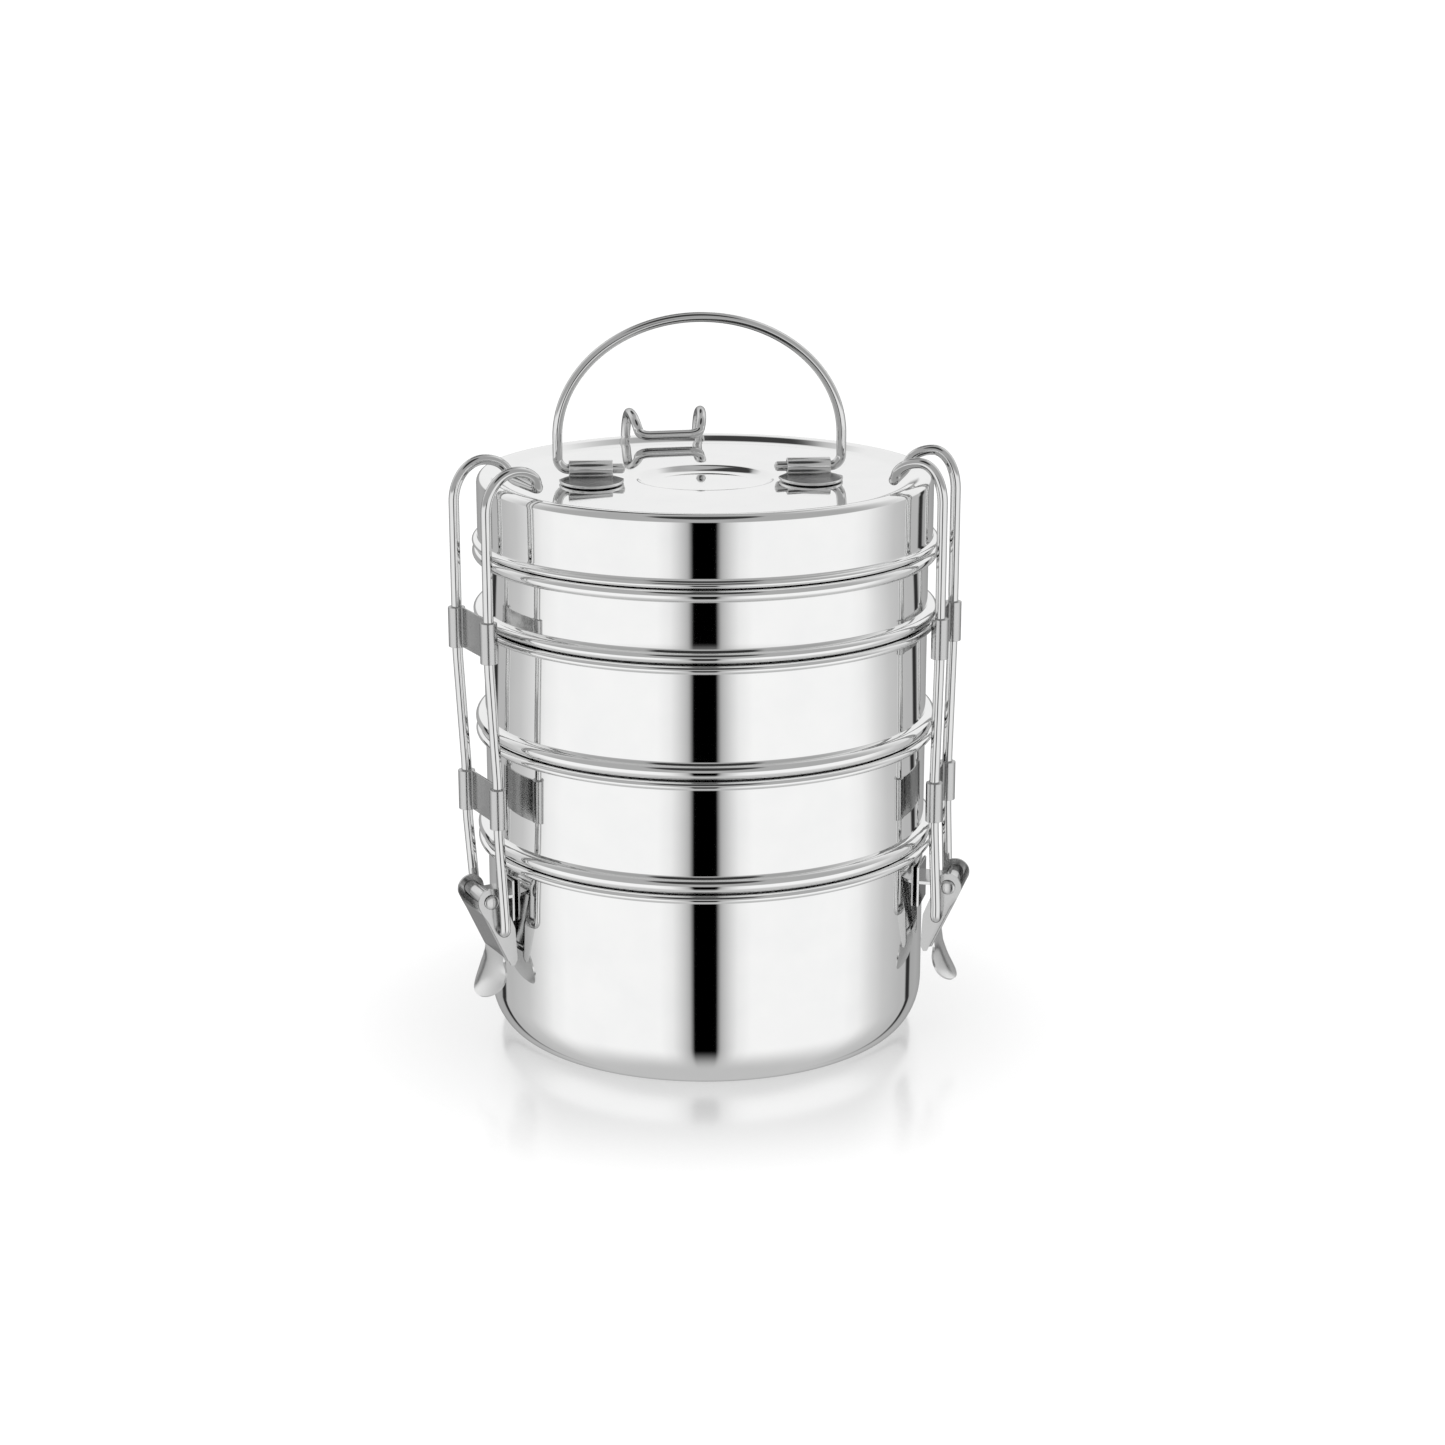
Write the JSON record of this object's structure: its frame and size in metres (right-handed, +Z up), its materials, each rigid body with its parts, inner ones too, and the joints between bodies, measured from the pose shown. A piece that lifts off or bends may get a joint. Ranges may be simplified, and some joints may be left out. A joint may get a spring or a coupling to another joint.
{
  "type": "tiffin carrier",
  "caption": "Round stacked steel lunch carrier with nested containers, a flat lid with a folding wire handle, and over-centre wire side clips that hold the stack shut.",
  "frame": {"origin": "centre of the base container's flat underside", "axes": "+Z up along the axis of the stack; the handle's hinge runs nearly along X; -Y is the front"},
  "size_m": [0.1602, 0.1541, 0.2241],
  "materials": {
    "polished_steel": "mirror polished",
    "tray_steel": "mirror polished",
    "lid_steel": "mirror polished",
    "wire_steel": "polished",
    "bracket_steel": "polished",
    "knuckle_steel": "satin",
    "pin_steel": "satin",
    "lever_steel": "satin",
    "strip_steel": "satin"
  },
  "bodies": {
    "base": {"base_container": "polished_steel", "latch_bracket_left": "knuckle_steel", "latch_bracket_right": "knuckle_steel", "latch_bracket_back": "knuckle_steel", "latch_pin_left": "pin_steel", "latch_pin_right": "pin_steel", "latch_pin_back": "pin_steel"},
    "tier_2": {"tier_2_container": "polished_steel"},
    "tier_3": {"tier_3_container": "polished_steel"},
    "tray": {"top_tray": "tray_steel"},
    "lid": {"lid": "lid_steel", "handle_bracket_left": "bracket_steel", "handle_bracket_right": "bracket_steel"},
    "handle": {"handle_wire": "wire_steel"},
    "lever_left": {"latch_lever_left": "lever_steel"},
    "clip_left": {"clip_wire_left": "wire_steel", "clip_plate_upper_left": "strip_steel", "clip_plate_lower_left": "strip_steel"},
    "lever_right": {"latch_lever_right": "lever_steel"},
    "clip_right": {"clip_wire_right": "wire_steel", "clip_plate_upper_right": "strip_steel", "clip_plate_lower_right": "strip_steel"},
    "lever_back": {"latch_lever_back": "lever_steel"},
    "clip_back": {"clip_wire_back": "wire_steel", "clip_plate_upper_back": "strip_steel", "clip_plate_lower_back": "strip_steel"}
  },
  "joints": [
    {"name": "tier_2_turn", "type": "hinge", "parent": "base", "child": "tier_2", "pos_m": [0, 0, 0.0626], "axis": [0, 0, 1], "continuous": true},
    {"name": "tier_3_turn", "type": "hinge", "parent": "tier_2", "child": "tier_3", "pos_m": [0, 0, 0.0973], "axis": [0, 0, 1], "continuous": true},
    {"name": "tray_turn", "type": "hinge", "parent": "tier_3", "child": "tray", "pos_m": [0, 0, 0.132], "axis": [0, 0, 1], "continuous": true},
    {"name": "lid_turn", "type": "hinge", "parent": "tray", "child": "lid", "pos_m": [0, 0, 0.1542], "axis": [0, 0, 1], "continuous": true},
    {"name": "handle_swing", "type": "hinge", "parent": "lid", "child": "handle", "pos_m": [-0.0016, 0, 0.1767], "axis": [0.9969, 0.0785, 0], "range_deg": [-90, 90]},
    {"name": "lever_left_swing", "type": "hinge", "parent": "base", "child": "lever_left", "pos_m": [-0.06852, -0.03643, 0.0512], "axis": [-0.4695, 0.8829, 0], "range_deg": [0, 135]},
    {"name": "clip_left_crank", "type": "hinge", "parent": "lever_left", "child": "clip_left", "pos_m": [-0.06569, -0.03493, 0.0414], "axis": [-0.4695, 0.8829, 0], "range_deg": [-128, 0]},
    {"name": "lever_right_swing", "type": "hinge", "parent": "base", "child": "lever_right", "pos_m": [0.07682, -0.01887, 0.0503], "axis": [-0.2385, -0.9711, 0], "range_deg": [0, 135]},
    {"name": "clip_right_crank", "type": "hinge", "parent": "lever_right", "child": "clip_right", "pos_m": [0.07371, -0.0181, 0.0405], "axis": [-0.2385, -0.9711, 0], "range_deg": [-128, 0]},
    {"name": "lever_back_swing", "type": "hinge", "parent": "base", "child": "lever_back", "pos_m": [-0.01546, 0.07666, 0.0507], "axis": [0.9803, 0.1977, 0], "range_deg": [0, 135]},
    {"name": "clip_back_crank", "type": "hinge", "parent": "lever_back", "child": "clip_back", "pos_m": [-0.01482, 0.07352, 0.0409], "axis": [0.9803, 0.1977, 0], "range_deg": [-128, 0]}
  ],
  "couplings": [
    {"joint": "clip_left_crank", "follows": "lever_left_swing", "ratio": -0.945},
    {"joint": "clip_right_crank", "follows": "lever_right_swing", "ratio": -0.945},
    {"joint": "clip_back_crank", "follows": "lever_back_swing", "ratio": -0.945}
  ]
}
